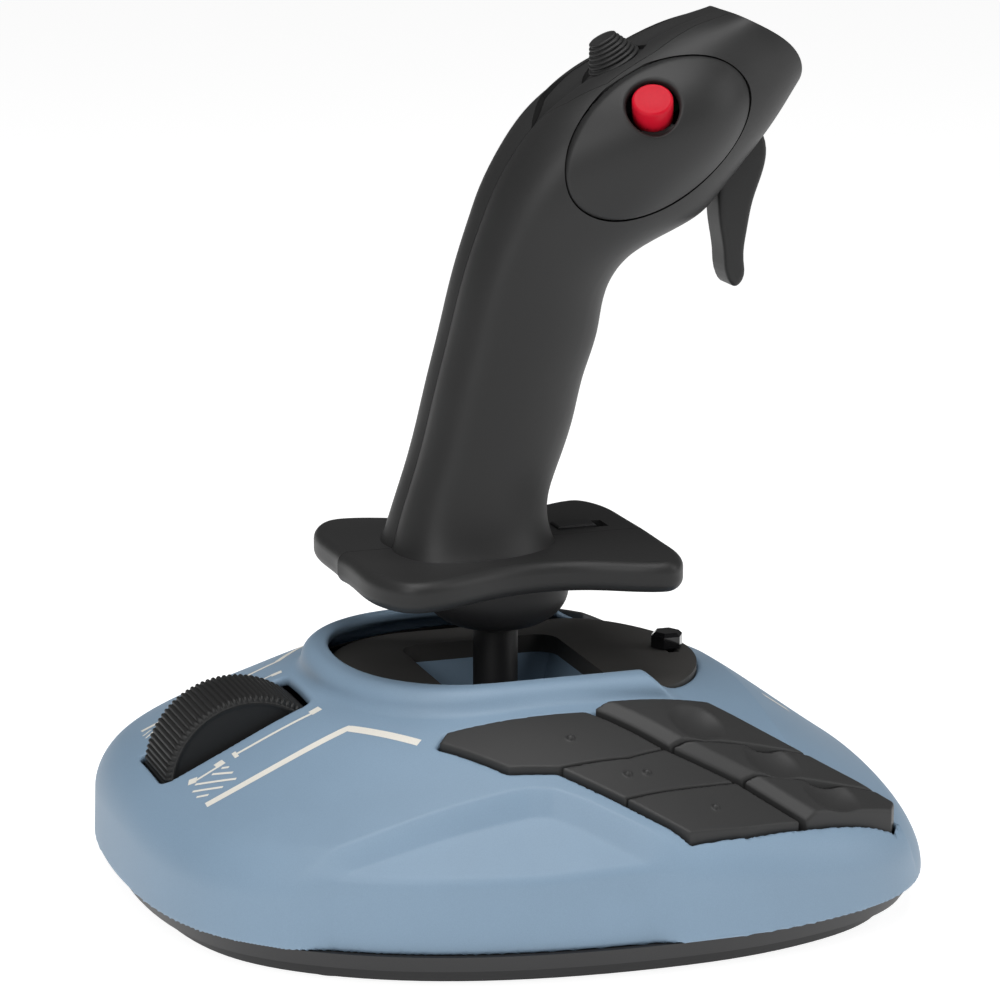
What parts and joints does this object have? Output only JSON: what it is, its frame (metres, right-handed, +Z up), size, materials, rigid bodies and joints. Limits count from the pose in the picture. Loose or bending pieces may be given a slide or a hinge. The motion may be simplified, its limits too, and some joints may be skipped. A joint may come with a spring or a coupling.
{
  "type": "flight joystick",
  "caption": "Desktop flight joystick: sprung grip that tilts and twists, with trigger, hat switch and side buttons, on a weighted base with a thumb throttle wheel and button clusters.",
  "frame": {"origin": "on the desk plane, under the axis of the upright stick", "axes": "+X to the user's right, +Y away from the user, +Z up"},
  "size_m": [0.205, 0.215, 0.2338],
  "materials": {
    "blue_shell": "satin, fine grain",
    "black_plastic": "satin",
    "rubber_black": "matt",
    "steel": "plain",
    "circuit_board": "lacquered",
    "deck_plastic": "satin",
    "gloss_black": "gloss",
    "switch_body": "plain",
    "wheel_plastic": "satin",
    "button_plastic": "satin",
    "grip_plastic": "satin",
    "red_plastic": "satin gloss"
  },
  "bodies": {
    "base": {"ballast_weight": "steel", "base_cover": "blue_shell", "base_plate": "black_plastic", "base_screws": "steel", "button_boards": "circuit_board", "cable_gland": "rubber_black", "deck_panel": "deck_plastic", "gimbal_yoke": "black_plastic", "main_board": "circuit_board", "pad_sheets": "rubber_black", "rubber_feet": "rubber_black", "selector_switch": "switch_body", "sensor_board": "circuit_board", "throttle_axle": "steel", "throttle_bracket": "black_plastic", "throttle_sensor": "switch_body", "well_tub": "blue_shell"},
    "gimbal_ring": {"gimbal_ring": "black_plastic"},
    "gimbal_block": {"gimbal_block": "black_plastic"},
    "throttle": {"throttle_wheel": "wheel_plastic"},
    "selector": {"selector_knob": "gloss_black"},
    "trigger": {"trigger": "grip_plastic"},
    "red_button": {"red_button": "red_plastic"},
    "black_button": {"black_side_button": "grip_plastic"},
    "hat_ring": {"hat_ring": "black_plastic"},
    "hat": {"hat_cap": "grip_plastic"},
    "twist_lock": {"twist_lock": "black_plastic"},
    "stick": {"shaft": "steel", "shaft_stop_ring": "steel", "magnet_holder": "steel", "shaft_sleeve": "black_plastic", "centering_spring": "steel", "twist_spring": "steel", "collar_cup": "black_plastic", "grip_right_half": "grip_plastic", "grip_left_half": "grip_plastic", "top_panel": "grip_plastic", "nose_lip": "black_plastic", "right_module": "grip_plastic", "left_module": "grip_plastic", "side_switches": "switch_body", "hat_switch": "switch_body", "grip_board": "circuit_board", "trigger_pin": "steel", "trigger_spring": "steel", "trigger_switch": "switch_body", "grip_core": "black_plastic", "grip_screws": "steel"},
    "left_far_button_1": {"left_far_button_1": "button_plastic"},
    "left_far_button_2": {"left_far_button_2": "button_plastic"},
    "left_far_button_3": {"left_far_button_3": "button_plastic"},
    "left_near_button_1": {"left_near_button_1": "button_plastic"},
    "left_near_button_2": {"left_near_button_2": "button_plastic"},
    "left_near_button_3": {"left_near_button_3": "button_plastic"},
    "right_far_button_1": {"right_far_button_1": "button_plastic"},
    "right_far_button_2": {"right_far_button_2": "button_plastic"},
    "right_far_button_3": {"right_far_button_3": "button_plastic"},
    "right_near_button_1": {"right_near_button_1": "button_plastic"},
    "right_near_button_2": {"right_near_button_2": "button_plastic"},
    "right_near_button_3": {"right_near_button_3": "button_plastic"}
  },
  "joints": [
    {"name": "stick_pitch", "type": "hinge", "parent": "base", "child": "gimbal_ring", "pos_m": [0, 0, 0.03], "axis": [1, 0, 0], "range_deg": [-15, 15], "stiffness_Nm_per_rad": 2},
    {"name": "stick_roll", "type": "hinge", "parent": "gimbal_ring", "child": "gimbal_block", "pos_m": [0, 0, 0.03], "axis": [0, 1, 0], "range_deg": [-15, 15], "stiffness_Nm_per_rad": 2},
    {"name": "stick_twist", "type": "hinge", "parent": "gimbal_block", "child": "stick", "pos_m": [0, 0, 0.03], "axis": [0, 0, 1], "range_deg": [-15, 15], "stiffness_Nm_per_rad": 0.6},
    {"name": "trigger_pull", "type": "hinge", "parent": "stick", "child": "trigger", "pos_m": [0, 0.067, 0.203], "axis": [-1, 0, 0], "range_deg": [0, 8], "stiffness_Nm_per_rad": 0.5, "springref_deg": -5.73},
    {"name": "red_button_press", "type": "slide", "parent": "stick", "child": "red_button", "axis": [-0.6217, 0.2507, -0.742], "range_m": [0, 0.0018], "stiffness_N_per_m": 600, "springref_m": -0.0008},
    {"name": "black_button_press", "type": "slide", "parent": "stick", "child": "black_button", "axis": [0.6217, 0.2507, -0.742], "range_m": [0, 0.0018], "stiffness_N_per_m": 600, "springref_m": -0.0008},
    {"name": "hat_fore_aft", "type": "hinge", "parent": "stick", "child": "hat_ring", "pos_m": [0, 0.03671, 0.21465], "axis": [1, 0, 0], "range_deg": [-8, 8], "stiffness_Nm_per_rad": 0.05},
    {"name": "hat_side_to_side", "type": "hinge", "parent": "hat_ring", "child": "hat", "pos_m": [0, 0.03671, 0.21465], "axis": [0, 0.8746, 0.4848], "range_deg": [-8, 8], "stiffness_Nm_per_rad": 0.05},
    {"name": "twist_lock_slide", "type": "slide", "parent": "stick", "child": "twist_lock", "axis": [0, 1, 0], "range_m": [0, 0.0033]},
    {"name": "throttle_turn", "type": "hinge", "parent": "base", "child": "throttle", "pos_m": [0, -0.072, 0.0345], "axis": [1, 0, 0], "range_deg": [-40, 40]},
    {"name": "selector_slide", "type": "slide", "parent": "base", "child": "selector", "axis": [1, 0, 0], "range_m": [-0.004, 0.004]},
    {"name": "left_far_button_1_press", "type": "slide", "parent": "base", "child": "left_far_button_1", "axis": [0, 0, -1], "range_m": [0, 0.0012], "stiffness_N_per_m": 500, "springref_m": -0.0008},
    {"name": "left_far_button_2_press", "type": "slide", "parent": "base", "child": "left_far_button_2", "axis": [0, 0, -1], "range_m": [0, 0.0012], "stiffness_N_per_m": 500, "springref_m": -0.0008},
    {"name": "left_far_button_3_press", "type": "slide", "parent": "base", "child": "left_far_button_3", "axis": [0, 0, -1], "range_m": [0, 0.0012], "stiffness_N_per_m": 500, "springref_m": -0.0008},
    {"name": "left_near_button_1_press", "type": "slide", "parent": "base", "child": "left_near_button_1", "axis": [0, 0, -1], "range_m": [0, 0.0012], "stiffness_N_per_m": 500, "springref_m": -0.0008},
    {"name": "left_near_button_2_press", "type": "slide", "parent": "base", "child": "left_near_button_2", "axis": [0, 0, -1], "range_m": [0, 0.0012], "stiffness_N_per_m": 500, "springref_m": -0.0008},
    {"name": "left_near_button_3_press", "type": "slide", "parent": "base", "child": "left_near_button_3", "axis": [0, 0, -1], "range_m": [0, 0.0012], "stiffness_N_per_m": 500, "springref_m": -0.0008},
    {"name": "right_far_button_1_press", "type": "slide", "parent": "base", "child": "right_far_button_1", "axis": [0, 0, -1], "range_m": [0, 0.0012], "stiffness_N_per_m": 500, "springref_m": -0.0008},
    {"name": "right_far_button_2_press", "type": "slide", "parent": "base", "child": "right_far_button_2", "axis": [0, 0, -1], "range_m": [0, 0.0012], "stiffness_N_per_m": 500, "springref_m": -0.0008},
    {"name": "right_far_button_3_press", "type": "slide", "parent": "base", "child": "right_far_button_3", "axis": [0, 0, -1], "range_m": [0, 0.0012], "stiffness_N_per_m": 500, "springref_m": -0.0008},
    {"name": "right_near_button_1_press", "type": "slide", "parent": "base", "child": "right_near_button_1", "axis": [0, 0, -1], "range_m": [0, 0.0012], "stiffness_N_per_m": 500, "springref_m": -0.0008},
    {"name": "right_near_button_2_press", "type": "slide", "parent": "base", "child": "right_near_button_2", "axis": [0, 0, -1], "range_m": [0, 0.0012], "stiffness_N_per_m": 500, "springref_m": -0.0008},
    {"name": "right_near_button_3_press", "type": "slide", "parent": "base", "child": "right_near_button_3", "axis": [0, 0, -1], "range_m": [0, 0.0012], "stiffness_N_per_m": 500, "springref_m": -0.0008}
  ]
}
